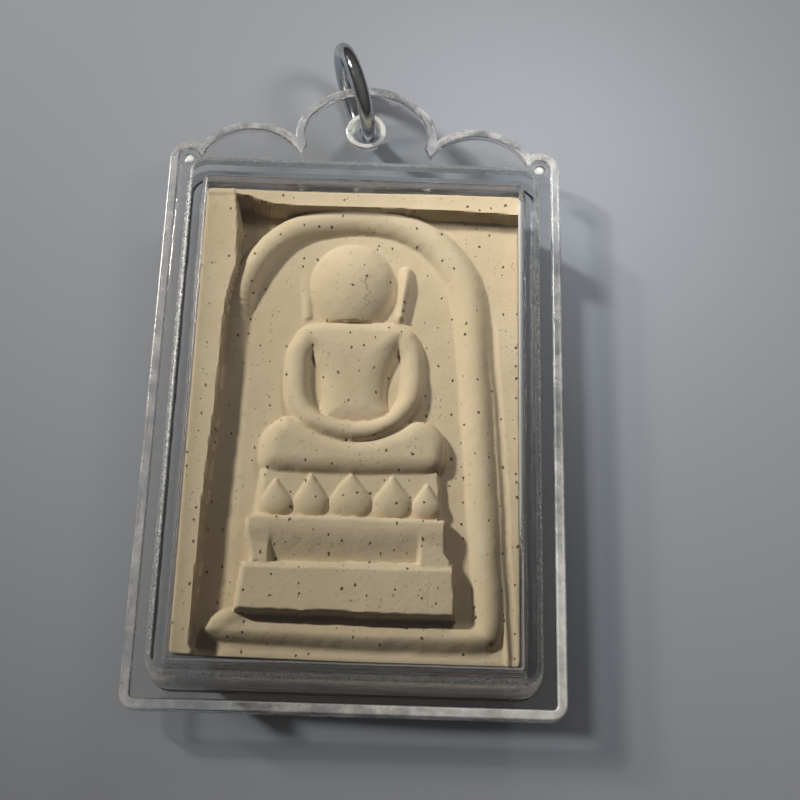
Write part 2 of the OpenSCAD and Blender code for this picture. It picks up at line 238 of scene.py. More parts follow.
def depth_inside(x, y, rows):
    """How deep each point lies inside a closed outline, negative outside."""
    line = curve(rows, closed=True)
    nearest = np.full(x.shape, 1e3)
    inside = np.zeros(x.shape, bool)
    for a, b in zip(line, np.roll(line, -1, axis=0)):
        nearest = np.minimum(nearest, to_span(x, y, a, b)[0])
        if a[1] != b[1]:
            crosses = ((a[1] > y) != (b[1] > y))
            inside ^= crosses & (x < (b[0] - a[0]) * (y - a[1]) / (b[1] - a[1]) + a[0])
    return np.where(inside, nearest, -nearest)


def pillow(depth, edge, height):
    """A form that rises round from its outline to its full height at the depth of its edge."""
    return height * quarter_round(depth / edge)


def bench(depth, slope, height, round_by=0.12):
    """A flat-topped form with a steep side and a softly rounded upper edge."""
    rise = np.clip(depth / slope, 0, None) * height
    lost = np.clip(round_by - np.abs(rise - height), 0, None) / round_by
    return np.minimum(rise, height) - lost * lost * round_by / 4


def ripple(x, y, wave, seed):
    """Smooth unevenness of about one, the same on every run, with lumps about one wave wide."""
    chance = np.random.default_rng(seed)
    total = np.zeros_like(x)
    for turn in chance.uniform(0, 2 * math.pi, 7):
        pace = 2 * math.pi / wave * chance.uniform(0.6, 1.5)
        phase = chance.uniform(0, 2 * math.pi)
        total += np.sin((x * math.cos(turn) + y * math.sin(turn)) * pace + phase)
    return total / 2.6


# The tablet's relief. An edge below is the depth inside an outline where a form is at its full height

GROUND_DEPTH = 1.4
LEFT_BORDER_H = 1.42
TOP_BORDER_H = 1.26
BORDER_LIP_H = 0.12
# How far the lip fades into each border
LEFT_LIP_FADE = 0.6
TOP_LIP_FADE = 0.9
BORDER_FACE = 0.24
LOW_EDGE_H = 0.22
LOW_EDGE_Y = -17.15
LOW_EDGE_X = -8.9

# Upper inner edge of the left border. Columns: y, x
LEFT_EDGE = [
    (-18.2, -10.40), (-17.6, -10.44), (-17.3, -10.62), (-13.0, -10.66), (-10.6, -10.58), (-8.0, -10.56),
    (-5.5, -10.45), (-2.5, -10.31), (0.7, -10.16), (3.7, -10.09), (6.0, -10.05), (8.3, -9.93),
    (10.0, -9.70), (11.3, -9.37), (13.8, -9.45), (15.4, -9.56), (17.2, -9.82), (18.2, -9.95),
]
# Upper inner edge of the top border. Columns: x, y
TOP_EDGE = [
    (-12.0, 17.42), (-9.8, 17.41), (-8.8, 17.34), (-7.9, 17.00), (-6.7, 16.68), (-4.6, 16.56),
    (5.2, 16.52), (12.2, 16.26),
]
# The low ridge outside the arch's right leg. Columns: y, x
RIGHT_RIDGE = [
    (-17.2, 11.05), (-11.0, 10.7), (-4.9, 10.45), (0.2, 10.15), (4.2, 9.85), (7.1, 9.66), (11.0, 9.4),
]
RIDGE_H = 0.40
RIDGE_IN = 0.24
RIDGE_OUT = 0.30
RIDGE_END_Y = 11.0
RIDGE_RUNOUT = 5.0

# Arch, from its left foot over the top to its right foot. Columns: x, y, half width, height
ARCH = [
    (-9.50, -15.6, 0.80, 0.05), (-9.45, -13.5, 0.82, 0.05), (-9.36, -9.5, 0.86, 0.05),
    (-9.25, -4.8, 0.90, 0.06), (-9.14, 0.0, 0.94, 0.10), (-9.12, 4.2, 1.02, 0.26),
    (-9.10, 7.4, 1.08, 0.50), (-8.76, 10.0, 1.12, 1.02), (-7.86, 12.14, 1.14, 1.10),
    (-6.48, 13.88, 1.16, 1.04), (-4.74, 15.12, 1.18, 1.00), (-2.36, 15.78, 1.24, 0.98),
    (0.30, 15.98, 1.26, 0.96), (3.00, 15.55, 1.28, 0.95), (5.40, 14.30, 1.32, 0.96),
    (7.05, 12.55, 1.42, 0.98), (8.03, 10.5, 1.48, 0.98), (8.50, 7.6, 1.42, 0.98),
    (8.72, 4.5, 1.36, 0.96), (9.00, 0.2, 1.32, 0.94), (9.34, -5.0, 1.28, 0.92),
    (9.68, -10.8, 1.22, 0.90), (9.88, -14.6, 1.14, 0.88), (9.72, -15.9, 1.08, 0.84),
]
ARCH_FULLNESS = 0.62
RIGHT_LEG_FULLER = 0.26
# What fills the gap between the arch's top and the border
ARCH_TOP = [
    (-4.4, 16.1, 0.5, 0.4), (-2.2, 16.45, 0.62, 0.95), (1.2, 16.5, 0.62, 1.0), (4.0, 16.2, 0.5, 0.5),
]
# The bottom bar's crest, the gentle slope above it, and the blunt point at its left end
BAR = [
    (-9.60, -16.05, 0.50, 0.62), (-8.5, -16.02, 0.86, 0.80), (-6.0, -16.06, 0.92, 0.80),
    (0.0, -16.16, 0.94, 0.80), (6.0, -16.18, 0.96, 0.82), (9.5, -16.05, 1.00, 0.86),
]
BAR_SLOPE = [(-8.4, -15.85, 0.90, 0.46), (0.0, -16.0, 0.98, 0.42), (9.3, -15.85, 0.98, 0.46)]
BAR_POINT = [
    (-9.60, -16.05, 0.42, 0.66), (-8.90, -15.66, 0.85, 0.84), (-8.15, -15.36, 0.92, 0.80),
    (-7.20, -15.55, 0.80, 0.50),
]

# The ground is deeper along the left border, and deepest in the corner above the arch
TRENCH_X = -7.9
TRENCH_DEPTH = 0.12
PIT_MIDDLE = (-0.3, 7.5)
PIT_R = 8.9
PIT_RIGHT_X = -2.0
PIT_DEPTH = 1.1
# How the pressed edges wander. Columns: wave, depth, seed across, seed along
WANDER = [(5.0, 0.022, 3, 5), (1.6, 0.012, 4, 6)]
# How the surface is worn. Columns: wave, depth, seed
WEAR = [(2.2, 0.004, 8), (0.7, 0.002, 9)]
GROUND_SWELL = 0.02

# The seated figure. The head is a smooth ball
HEAD_MIDDLE = (-0.52, 10.50)
HEAD_HALF_W = 3.26
HEAD_UP = 3.46
HEAD_DOWN = 4.05
HEAD_H = 1.5
HEAD_FULLNESS = 0.68
NECK_Y = 7.12
RIGHT_EAR = [
    (3.50, 11.66, 0.52, 0.62), (3.44, 10.80, 0.46, 0.80), (3.30, 9.8, 0.39, 0.84),
    (3.20, 8.8, 0.34, 0.80), (3.15, 7.85, 0.33, 0.74),
]
LEFT_EAR = [
    (-4.24, 11.70, 0.60, 0.14), (-4.12, 10.8, 0.58, 0.20), (-4.00, 9.6, 0.52, 0.26),
    (-3.92, 8.5, 0.46, 0.32), (-3.86, 7.85, 0.44, 0.34),
]
LEFT_ARM = [
    (-3.65, 5.96, 1.04, 0.92), (-4.28, 4.80, 0.97, 0.94), (-4.42, 3.5, 0.95, 0.96),
    (-4.40, 2.3, 0.96, 1.02), (-4.20, 1.1, 0.97, 1.10), (-3.66, 0.05, 0.96, 1.24),
    (-2.88, -0.72, 0.92, 1.40), (-1.62, -1.25, 0.95, 1.48), (-0.20, -1.48, 0.98, 1.50),
]
RIGHT_ARM = [
    (3.55, 5.96, 1.00, 0.90), (4.08, 4.80, 0.93, 0.90), (4.18, 3.5, 0.91, 0.92),
    (4.18, 2.3, 0.91, 1.02), (3.98, 1.15, 0.90, 1.10), (3.42, 0.15, 0.88, 1.24),
    (2.62, -0.68, 0.88, 1.40), (1.45, -1.28, 0.94, 1.48), (-0.20, -1.48, 0.98, 1.50),
]
TORSO = [
    (-3.95, 6.58), (-3.50, 7.02), (-2.60, 7.28), (-0.30, 7.32), (2.05, 7.36), (3.15, 7.10),
    (3.75, 6.58), (3.45, 5.60), (2.98, 4.80), (2.62, 3.90), (2.36, 3.00), (2.24, 2.00),
    (2.26, 1.10), (2.55, 0.20), (2.10, -0.80), (-0.20, -1.10), (-2.30, -0.80), (-2.66, 0.20),
    (-2.52, 1.10), (-2.54, 2.00), (-2.68, 2.90), (-3.00, 3.80), (-3.44, 4.70), (-3.95, 5.60),
]
SHOULDERS = [
    (-5.00, 4.30), (-4.94, 5.60), (-4.42, 6.68), (-3.70, 7.15), (-2.60, 7.36), (-0.26, 7.38),
    (2.10, 7.46), (3.20, 7.24), (4.00, 6.82), (4.70, 6.00), (5.00, 4.70), (4.50, 3.40),
    (0.00, 3.00), (-4.40, 3.30),
]
LAP = [
    (-6.45, -4.38), (-5.60, -4.76), (-3.30, -4.86), (0.20, -4.88), (3.60, -4.74), (5.70, -4.52),
    (6.62, -3.90), (6.84, -2.75), (6.60, -1.60), (5.85, -0.70), (5.00, -0.34), (4.10, -0.40),
    (2.90, -1.05), (1.40, -1.60), (0.00, -1.75), (-1.40, -1.60), (-3.00, -1.00), (-4.15, -0.38),
    (-4.90, -0.16), (-5.55, -0.46), (-6.28, -1.08), (-6.72, -1.95), (-6.86, -2.95), (-6.82, -3.80),
]
LAP_H = 1.34
LAP_EDGE = 1.5
TORSO_EDGE = 1.9
SHOULDER_EDGE = 1.3
SHOULDER_H = 0.96
ARM_ROUNDNESS = 2.2

# The pedestal, from the seat down. Corners run round each face
LOTUS_FACE = [(-7.8, -3.6), (6.22, -3.6), (6.52, -8.2), (-7.8, -8.2)]
LOTUS_H = 0.74
LOTUS_SLOPE = 0.16
LOTUS_TOP_Y = -3.9
LOTUS_FOOT_X = -6.88
LOTUS_FOOT_LEAN = 0.09
LOTUS_FLANK = 0.8
# Petals. Columns: tip x, tip y, left, right, foot y
PETALS = [
    (-5.43, -5.20, -6.36, -4.08, -7.80), (-2.94, -4.76, -4.08, -1.57, -7.86),
    (-0.04, -4.62, -1.57, 1.49, -7.88), (2.88, -4.76, 1.49, 4.32, -7.88),
    (5.37, -5.26, 4.34, 6.40, -7.76),
]
PETAL_H = 0.46
PETAL_BELLY = 0.40
PETAL_TIP_W = 0.07
MOULDING_H = 1.48
MOULDING_X = (-7.44, 6.78)
MOULDING_FLARE = 0.40
MOULDING_CUT = 0.45
MOULDING_TOP_Y = -7.72
# The share of the tier's height over which the moulding rolls up
ROLL_SHARE = 0.17
PANEL_X = (-5.62, 4.90)
PANEL_H = 0.70
PANEL_LOW_Y = -11.05
FOOT_EDGE_H = 1.30
SLAB = [(-7.62, -11.10), (7.40, -10.96), (7.54, -14.98), (-8.02, -14.84)]
SLAB_H = 1.52
SLAB_TOP_H = 1.1
SLAB_CHAMFER = 0.62
SLAB_CHAMFER_Y = -11.1
SLAB_LEFT_ROUND = 0.5
GROOVE_X = 5.68
GROOVE_HALF_W = 0.06
GROOVE_DEPTH = 0.022


def straight_inside(x, y, corners):
    """How deep each point lies inside a shape with straight sides, corners given clockwise or not."""
    middle = np.mean(corners, axis=0)
    depth = np.full(x.shape, 1e3)
    for a, b in zip(corners, corners[1:] + corners[:1]):
        normal = Vector((b[1] - a[1], a[0] - b[0])).normalized()
        side = normal.x * (x - a[0]) + normal.y * (y - a[1])
        facing = normal.x * (middle[0] - a[0]) + normal.y * (middle[1] - a[1])
        depth = np.minimum(depth, side * math.copysign(1, facing))
    return depth


def border_height(x, y):
    """The high border at the left and the top, with its raised lip, and the low strip elsewhere."""
    into_left = np.interp(y, *zip(*LEFT_EDGE)) - x
    into_top = y - np.interp(x, *zip(*TOP_EDGE))
    left_h = LEFT_BORDER_H + BORDER_LIP_H * np.exp(-np.clip(into_left, 0, None) / LEFT_LIP_FADE)
    top_h = TOP_BORDER_H + 2 * BORDER_LIP_H * np.exp(-np.clip(into_top, 0, None) / TOP_LIP_FADE)
    left = bench(into_left + BORDER_FACE, BORDER_FACE, left_h)
    top = bench(into_top + BORDER_FACE, BORDER_FACE, top_h)
    right = x - np.interp(y, *zip(*RIGHT_RIDGE))
    reach = smoothed((RIDGE_END_Y - y) / RIDGE_RUNOUT)
    ridge = RIDGE_H * np.exp(-(right / np.where(right < 0, RIDGE_IN, RIDGE_OUT)) ** 2) * reach
    strip = LOW_EDGE_H * smoothed((right - 0.35) / 0.4) * reach
    foot = smoothed((LOW_EDGE_Y - y) / 0.25) * smoothed((x - LOW_EDGE_X) / 0.3)
    strip = np.maximum(strip, LOW_EDGE_H * 0.8 * foot)
    low = joined(ridge, strip, 0.08)
    return joined(joined(left, top, 0.2), low, 0.08)


def petal_height(x, y, tip_x, tip_y, left, right, foot_y):
    """A lotus petal: full and round below, then straight up to a pointed tip with a soft ridge."""
    up = (y - foot_y) / (tip_y - foot_y)
    middle = (left + right) / 2 + (tip_x - (left + right) / 2) * np.clip(up, 0, 1)
    across = np.abs(x - middle) / ((right - left) / 2)
    above = np.clip((up - PETAL_BELLY) / (1 - PETAL_BELLY), 0, 1)
    below = np.clip((PETAL_BELLY - up) / PETAL_BELLY, 0, None)
    width = PETAL_TIP_W + (1 - PETAL_TIP_W) * (1 - above ** 1.2)
    share = np.where(up > PETAL_BELLY, across / width, (across ** 2.6 + below ** 2.6) ** (1 / 2.6))
    share = np.clip(share, 0, 1)
    tip = np.clip((1.02 - up) / 0.06, 0, 1)
    crest = PETAL_H * (1 - 0.5 * above ** 1.6) * np.sqrt(tip)
    swell = 2.0 - 0.2 * above
    return np.where(up > 0, crest * np.clip(1 - share ** swell, 0, 1) ** 0.6, 0)


def lotus_height(x, y):
    """The lotus band: a step with a worn left flank and five petals."""
    band = bench(straight_inside(x, y, LOTUS_FACE), LOTUS_SLOPE, LOTUS_H)
    flank = x - LOTUS_FOOT_X + LOTUS_FOOT_LEAN * (LOTUS_TOP_Y - y)
    band = np.minimum(band, LOTUS_H * smoothed(flank / LOTUS_FLANK))
    petals = np.zeros_like(x)
    for row in PETALS:
        petals = np.maximum(petals, petal_height(x, y, *row))
    return band + petals * smoothed(band / LOTUS_H)


def moulding_height(x, y):
    """The rolled moulding, the sunk panel under it and the posts at the panel's ends."""
    down = (MOULDING_TOP_Y - y) / (MOULDING_TOP_Y - PANEL_LOW_Y)
    belly = MOULDING_H * quarter_round(down / ROLL_SHARE)
    falling = np.clip((down - 0.24) / 0.76, 0, 1)
    panel = belly - (MOULDING_H - PANEL_H) * falling ** 2 * (2 - falling)
    foot = belly - (MOULDING_H - FOOT_EDGE_H) * smoothed((down - 0.3) / 0.4)
    into_panel = np.minimum(x - PANEL_X[0], PANEL_X[1] - x)
    tier = foot + (panel - foot) * smoothed((into_panel + 0.10) / 0.26)
    left_x = MOULDING_X[0] + MOULDING_FLARE * smoothed((down - 0.35) / 0.65)
    right_x = MOULDING_X[1] + MOULDING_FLARE * smoothed((down - 0.75) / 0.25)
    across = np.minimum(x - left_x, right_x - x)
    cut = (x - left_x + MOULDING_TOP_Y - y - MOULDING_CUT) * 0.7
    side = np.minimum(across, cut) / np.where(x > 0, 0.18, 0.36)
    tier = np.clip(tier, 0, None) * quarter_round(side)
    return tier * (down > 0) * (y > PANEL_LOW_Y - 0.25)


def slab_height(x, y):
    """The slab at the foot: its upper edge slopes, its left edge is round, and a groove runs down it."""
    depth = straight_inside(x, y, SLAB)
    slab = bench(depth, 0.18, SLAB_H, 0.22)
    from_top = np.clip((SLAB_CHAMFER_Y - y + 0.007 * x) / SLAB_CHAMFER, 0, 1)
    slab = np.minimum(slab, SLAB_TOP_H + (SLAB_H - SLAB_TOP_H) * from_top)
    from_left = x - np.interp(y, [SLAB[3][1], SLAB[0][1]], [SLAB[3][0], SLAB[0][0]])
    slab = slab * quarter_round(from_left / SLAB_LEFT_ROUND)
    groove = np.exp(-((x - GROOVE_X) / GROOVE_HALF_W) ** 2) * smoothed((-11.9 - y) / 0.3)
    return slab - GROOVE_DEPTH * groove * (depth > 0.2)


def pedestal_height(x, y):
    """The three tiers under the figure."""
    return joined(joined(lotus_height(x, y), moulding_height(x, y), 0.10), slab_height(x, y), 0.08)


def figure_height(x, y):
    """The seated figure: lap, trunk, arms that meet over the lap, ears and the ball of the head."""
    lap = pillow(depth_inside(x, y, LAP), LAP_EDGE - 0.2 * smoothed((x - 3.0) / 3.0), LAP_H)
    chest = 0.98 + 0.10 * np.exp(-((y - 5.2) / 1.6) ** 2) - 0.04 * np.exp(-((y - 1.6) / 1.4) ** 2)
    torso_edge = TORSO_EDGE - 0.65 * smoothed((y - 4.6) / 1.6)
    torso = pillow(depth_inside(x, y, TORSO), torso_edge, 1.0) * chest
    shoulders = pillow(depth_inside(x, y, SHOULDERS), SHOULDER_EDGE, SHOULDER_H)
    shoulders = shoulders * smoothed((y - 4.9) / 1.7)
    body = joined(joined(torso, shoulders, 0.25), lap, 0.10)
    arms = np.maximum(bead(x, y, LEFT_ARM, ARM_ROUNDNESS, 0.6), bead(x, y, RIGHT_ARM, ARM_ROUNDNESS, 0.62))
    body = joined(body, arms, 0.06 + 0.12 * smoothed((y - 3.6) / 1.6))
    reach_y = np.where(y > HEAD_MIDDLE[1], HEAD_UP, HEAD_DOWN)
    ball = ((x - HEAD_MIDDLE[0]) / HEAD_HALF_W) ** 2 + ((y - HEAD_MIDDLE[1]) / reach_y) ** 2
    head = HEAD_H * np.clip(1 - ball, 0, 1) ** HEAD_FULLNESS
    head = head * smoothed((y - NECK_Y) / 0.3)
    head = joined(head, bead(x, y, LEFT_EAR, 2.0, 0.7), 0.22)
    return joined(joined(body, head, 0.05), bead(x, y, RIGHT_EAR, 2.0, 0.6), 0.06)


def arch_height(x, y, fullness):
    """The arch bead, and what fills the gap over its top."""
    return joined(bead(x, y, ARCH, 2.0, fullness), bead(x, y, ARCH_TOP), 0.3)


def bar_height(x, y):
    """The bottom bar with its slope and its blunt point."""
    bar = joined(bead(x, y, BAR, 1.8, 0.8), bead(x, y, BAR_SLOPE, 2.0, 0.8), 0.3)
    return joined(bar, bead(x, y, BAR_POINT, 2.0, 0.75), 0.35)


def relief_height(x, y):
    """Height of the whole relief above the sunk ground, in the tablet's frame."""
    place = [x, y]
    for wave, depth, *seeds in WANDER:
        place = [line + depth * ripple(x, y, wave, seed) for line, seed in zip(place, seeds)]
    fullness = ARCH_FULLNESS + RIGHT_LEG_FULLER * smoothed((x - 5.5) / 2.5)
    beads = joined(arch_height(*place, fullness), bar_height(*place), 0.12)
    raised = joined(border_height(*place), beads, 0.16)
    raised = joined(raised, pedestal_height(*place), 0.05)
    raised = joined(raised, figure_height(*place), 0.06)
    ground = GROUND_SWELL * ripple(x, y, 6.0, 7) + GROUND_SWELL
    off_arch = np.hypot(x - PIT_MIDDLE[0], y - PIT_MIDDLE[1]) - PIT_R
    pit = smoothed(off_arch / 0.6) * smoothed((y - PIT_MIDDLE[1]) / 3.0) * smoothed((PIT_RIGHT_X - x) / 2.0)
    deeper = TRENCH_DEPTH * smoothed((TRENCH_X - x) / 0.8) + PIT_DEPTH * pit
    height = joined(raised, ground, 0.10) - deeper * smoothed((0.4 - raised) / 0.4)
    for wave, depth, seed in WEAR:
        height = height + depth * ripple(x, y, wave, seed)
    return height


# The tablet

CELL = 0.1
EDGE_ROUND = 0.22
CHIP_WAVE = 1.1
CHIP_SEED = 11
CORNER_R = 0.5
BACK_BEVEL = 0.3
TABLET_T = 4.5
# How far below its face the tablet's sides start to be straight
SIDE_START = 2.2
# Edges that turn by more than this many degrees are shaded as creases
SHARP_TABLET = 75
# The pressing spreads a little at its right side and its foot, and is drawn in at its top
RIGHT_SPREAD = 0.15
LOW_SPREAD = 0.40
TOP_DRAW = 0.16


def round_corner(x, y):
    """Draws the grid's square corners in to the tablet's rounded ones."""
    into_x = np.clip((np.abs(x) - tablet_w / 2 + CORNER_R) / CORNER_R, 0, 1)
    into_y = np.clip((np.abs(y) - tablet_l / 2 + CORNER_R) / CORNER_R, 0, 1)
    pull_x = CORNER_R * into_x * (1 - np.sqrt(1 - into_y ** 2 / 2))
    pull_y = CORNER_R * into_y * (1 - np.sqrt(1 - into_x ** 2 / 2))
    return x - np.sign(x) * pull_x, y - np.sign(y) * pull_y


def tablet_cast():
    """The pressed plaster tablet: a fine grid raised into the relief, with sides and a flat back."""
    face_z = tablet_low.z + TABLET_T
    bm = bmesh.new()
    across = round(tablet_w / CELL)
    along = round(tablet_l / CELL)
    bmesh.ops.create_grid(bm, x_segments=across, y_segments=along, size=1.0)
    bmesh.ops.scale(bm, vec=(tablet_w / 2, tablet_l / 2, 1), verts=bm.verts)
    mesh = bpy.data.meshes.new("tablet_grid")
    bm.to_mesh(mesh)
    bm.free()
    points = np.zeros(len(mesh.vertices) * 3)
    mesh.vertices.foreach_get("co", points)
    points = points.reshape(-1, 3)
    x, y = points[:, 0].copy(), points[:, 1].copy()
    height = relief_height(x, y)
    from_edge = np.minimum(tablet_w / 2 - np.abs(x), tablet_l / 2 - np.abs(y))
    chips = 0.5 + 0.5 * np.clip(ripple(x, y, CHIP_WAVE, CHIP_SEED), -1, 1.5)
    round_by = EDGE_ROUND * (0.7 + 0.5 * chips)
    height = height - EDGE_ROUND * (1 - quarter_round(from_edge / round_by))
    round_x, round_y = round_corner(x, y)
    points[:, 0] = round_x + RIGHT_SPREAD * smoothed((x - 8.5) / 3.5)
    low = smoothed((-16.6 - y) / 1.4) * smoothed((x + 12) / 15)
    top = smoothed((y - 15.0) / 2.5) * smoothed((7 - x) / 12)
    points[:, 1] = round_y - LOW_SPREAD * low - TOP_DRAW * top + middle_y
    points[:, 2] = face_z - GROUND_DEPTH + height
    mesh.vertices.foreach_set("co", (points * MM).ravel())
    bm = bmesh.new()
    bm.from_mesh(mesh)
    bpy.data.meshes.remove(mesh)
    rim = [e for e in bm.edges if e.is_boundary]
    sides = ((face_z - SIDE_START, 0), (tablet_low.z + BACK_BEVEL, 0), (tablet_low.z, BACK_BEVEL))
    for level, inset in sides:
        made = bmesh.ops.extrude_edge_only(bm, edges=rim)["geom"]
        fresh = {part for part in made if isinstance(part, bmesh.types.BMVert)}
        for v in fresh:
            v.co.z = level * MM
            v.co.x *= 1 - inset / (tablet_w / 2)
            v.co.y = middle_y * MM + (v.co.y - middle_y * MM) * (1 - inset / (tablet_l / 2))
        rim = list({e for v in fresh for e in v.link_edges if e.other_vert(v) in fresh})
    bmesh.ops.edgeloop_fill(bm, edges=rim)
    bmesh.ops.recalc_face_normals(bm, faces=bm.faces)
    for face in bm.faces:
        face.smooth = len(face.verts) == 4
    piece = mesh_object("tablet_cast", bm, [plaster_material()])
    piece.data.set_sharp_from_angle(angle=math.radians(SHARP_TABLET))
    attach(piece, "case")
    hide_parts("tablet")


# Outlines of the case, in the tablet's frame. The walls lean in towards the window by the draft

WALL = 1.2
WINDOW_T = 1.1
FLOOR_T = 1.1
# Room between the tablet and the wall, at the window
SLACK_SIDE = 0.2
SLACK_TOP = 0.8
SLACK_LOW = 0.3
DRAFT = 0.5
BOX_R = 1.3
LEAST_BOX_R = 0.3
BEVEL = 0.4
# Heights of the rim's underside and of the seam between the halves
FLANGE_Z = 2.0
SEAM_Z = 2.75
FRONT_FLANGE_T = 0.7
LIP_W = 0.7
RIM_R = 1.1
FIT = 0.05
EAR_R = 1.6
PIN_R = 0.4
# The tab: a crown between two shoulders, and a scallop at each side that hangs below the ears
CROWN_R = 6.4
CROWN_HALF_ANGLE = 50
CROWN_DROP = 2.3
SHOULDER_R = 3.4
SIDE_DROP = 1.6
EYE_OFF = 4.3
EYE_R = 1.2
EYE_WALL = 0.4
FLANGE_TOP = 1.25
# Radii of the rounded edges
EDGE = 0.12
FINE = 0.05
INNER_ROUND = 0.35
FLANGE_BEVEL = 0.09
CUT_ROUND = 0.1
WELD = 0.0005
SHARP_SHELL = 42
# The side scallop's middle and radius, as shares of the room between an ear and the crown
SCALLOP_MIDDLE = 0.44
SCALLOP_R = 0.695

front_z = front_low.z
case_h = front_high.z
window_z = case_h - WINDOW_T
front_top = front_z + FRONT_FLANGE_T
lip_top = back_high.z
rim_x = back_high.x
rim_low = -(back_low.y - middle_y)
box_x = tablet_w / 2 + SLACK_SIDE + WALL
box_top = tablet_l / 2 + SLACK_TOP + WALL
box_low = tablet_l / 2 + SLACK_LOW + WALL
ear_x = rim_x - EAR_R
ear_y = box_top + DRAFT + FLANGE_TOP
eye_y = box_top + DRAFT + EYE_OFF
shoulder_x = (CROWN_R - SHOULDER_R) * math.sin(math.radians(CROWN_HALF_ANGLE))
shoulder_y = eye_y - CROWN_DROP + (CROWN_R - SHOULDER_R) * math.cos(math.radians(CROWN_HALF_ANGLE))
cusp_x = shoulder_x + SHOULDER_R
side_room = ear_x - EAR_R / 2 - cusp_x
side_x = cusp_x + SCALLOP_MIDDLE * side_room
side_r = SCALLOP_R * side_room
side_y = ear_y - SIDE_DROP


def arc(middle, radius, start, end, steps):
    """Points along an arc, angles in degrees."""
    return [(middle[0] + radius * math.cos(math.radians(start + (end - start) * i / steps)),
             middle[1] + radius * math.sin(math.radians(start + (end - start) * i / steps)))
            for i in range(steps + 1)]


def angle_of(middle, point):
    """The direction from a middle to a point, in degrees."""
    return math.degrees(math.atan2(point[1] - middle[1], point[0] - middle[0]))


def crossing(a, a_r, b, b_r):
    """The upper of the two points where two circles cross."""
    run = Vector(b) - Vector(a)
    gap = run.length
    along = (a_r ** 2 - b_r ** 2 + gap ** 2) / (2 * gap)
    off = math.sqrt(max(a_r ** 2 - along ** 2, 0))
    foot = Vector(a) + run / gap * along
    side = Vector((-run.y, run.x)) / gap * off
    return max((foot + side, foot - side), key=lambda p: p.y)


def rim_outline(inset):
    """The rim with its two ears, side scallops and crown, drawn in from the edge by inset."""
    ear, side, shoulder = (ear_x, ear_y), (side_x, side_y), (shoulder_x, shoulder_y)
    ear_cusp = crossing(ear, EAR_R - inset, side, side_r - inset)
    side_cusp = crossing(side, side_r - inset, shoulder, SHOULDER_R - inset)
    right = arc((rim_x - RIM_R, -rim_low + RIM_R), RIM_R - inset, 270, 360, 10)
    right += arc(ear, EAR_R - inset, 0, angle_of(ear, ear_cusp), 14)
    right += arc(side, side_r - inset, angle_of(side, ear_cusp), angle_of(side, side_cusp), 14)[1:]
    crown_end = 90 - CROWN_HALF_ANGLE
    right += arc(shoulder, SHOULDER_R - inset, angle_of(shoulder, side_cusp), crown_end, 8)[1:]
    right += arc((0, eye_y - CROWN_DROP), CROWN_R - inset, crown_end, 90, 12)[1:]
    return right + [(-x, y) for x, y in reversed(right[:-1])]


def box_outline(grow, r):
    """The box's outline at the window, grown by grow, with upright corners of radius r."""
    x, top, low = box_x + grow, box_top + grow, box_low + grow
    return (arc((x - r, -low + r), r, 270, 360, 10) + arc((x - r, top - r), r, 0, 90, 10)
            + arc((-x + r, top - r), r, 90, 180, 10) + arc((-x + r, -low + r), r, 180, 270, 10))


def circle_outline(middle, radius):
    """A full circle, without its last point, which is its first."""
    return arc(middle, radius, 0, 360, 40)[:-1]


# The clear case

def placed(point, z):
    """A point of the tablet's frame at the height z, in the part's frame."""
    return Vector((point[0], point[1] + middle_y, z))


def edges_of(bm, ring):
    """The edges that close a ring of vertices."""
    return [bm.edges.get(pair) for pair in zip(ring, ring[1:] + ring[:1])]


def wall(bm, rows, slots=(0,)):
    """A closed wall through rows of outlines and heights: one ring is drawn, and extruded to the next.

    Each strip takes its material from the list of slots, whose last one goes on to the end.
    """
    points, z = rows[0]
    ring = [bm.verts.new(placed(point, z)) for point in points]
    for pair in zip(ring, ring[1:] + ring[:1]):
        bm.edges.new(pair)
    first = ring
    for strip, (points, z) in enumerate(rows[1:]):
        made = bmesh.ops.extrude_edge_only(bm, edges=edges_of(bm, ring))["geom"]
        fresh = {part for part in made if isinstance(part, bmesh.types.BMVert)}
        ring = [next(e.other_vert(v) for e in v.link_edges if e.other_vert(v) in fresh) for v in ring]
        for vert, point in zip(ring, points):
            vert.co = placed(point, z)
        for face in [part for part in made if isinstance(part, bmesh.types.BMFace)]:
            face.material_index = slots[min(strip, len(slots) - 1)]
    return first, ring


def fill(bm, *rings, slot=0):
    """A flat face between rings that lie in one plane, with the inner ones as holes."""
    edges = [edge for ring in rings for edge in edges_of(bm, ring)]
    made = bmesh.ops.triangle_fill(bm, use_beauty=True, use_dissolve=False, edges=edges,
                                   normal=(0, 0, 1))
    for face in [part for part in made["geom"] if isinstance(part, bmesh.types.BMFace)]:
        face.material_index = slot


def rounded(corner, inward, upward, radius, steps=4):
    """Offsets and heights round an edge: from the side below the corner to the face beside it."""
    offset, z = corner
    turn = [math.radians(90 * i / steps) for i in range(steps + 1)]
    return [(offset + inward * radius * (1 - math.cos(a)), z - upward * radius * (1 - math.sin(a)))
            for a in turn]


def rim_wall(bm, profile, slots=(0,)):
    """A wall on the rim's outline. Rows of the profile: how far in, and height."""
    return wall(bm, [(rim_outline(inset), z) for inset, z in profile], slots)


def box_wall(bm, profile, slots=(0,)):
    """A wall on the box's outline. Rows of the profile: how far out, and height."""
    return wall(bm, [(box_outline(grow, max(BOX_R + grow, LEAST_BOX_R)), z) for grow, z in profile], slots)


def tube_wall(bm, middle, profile, slots=(0,)):
    """A round wall. Rows of the profile: radius and height."""
    return wall(bm, [(circle_outline(middle, radius), z) for radius, z in profile], slots)


